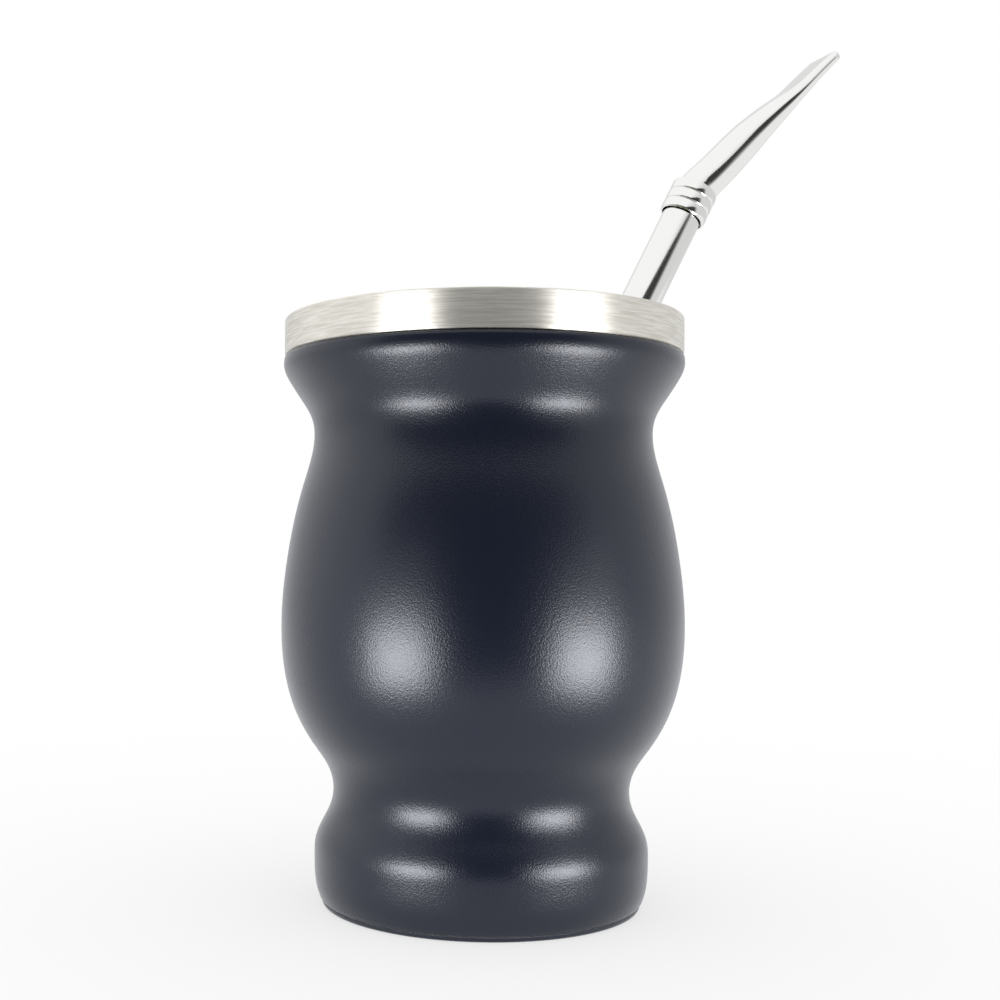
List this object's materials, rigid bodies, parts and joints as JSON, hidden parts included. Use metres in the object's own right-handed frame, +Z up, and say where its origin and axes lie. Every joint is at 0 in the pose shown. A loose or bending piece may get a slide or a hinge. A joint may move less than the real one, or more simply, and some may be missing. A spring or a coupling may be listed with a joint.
{
  "type": "mate gourd drink",
  "caption": "Waisted double-wall steel cup with a bare rim band, filled with leaf and infusion, and a bent metal straw leaning on its rim.",
  "frame": {"origin": "centre of the round base, on the surface the cup stands on", "axes": "+Z up along the cup's axis; the straw leans towards +X and a little to +Y; -Y is the side the picture was taken from"},
  "size_m": [0.1161, 0.0806, 0.1786],
  "materials": {
    "powder_coat": "satin, fine grain",
    "brushed_steel": "brushed round the rim",
    "polished_steel": "polished, drawn lengthwise",
    "cut_leaf": "dull cut leaf and stems",
    "mate_infusion": "wet, cloudy green-brown"
  },
  "bodies": {
    "root": {"shell": "powder_coat", "base_plate": "powder_coat", "liner": "brushed_steel", "bombilla_tube": "polished_steel", "bombilla_collar": "polished_steel", "bombilla_mouthpiece": "polished_steel", "yerba": "cut_leaf", "infusion": "mate_infusion"}
  },
  "joints": []
}
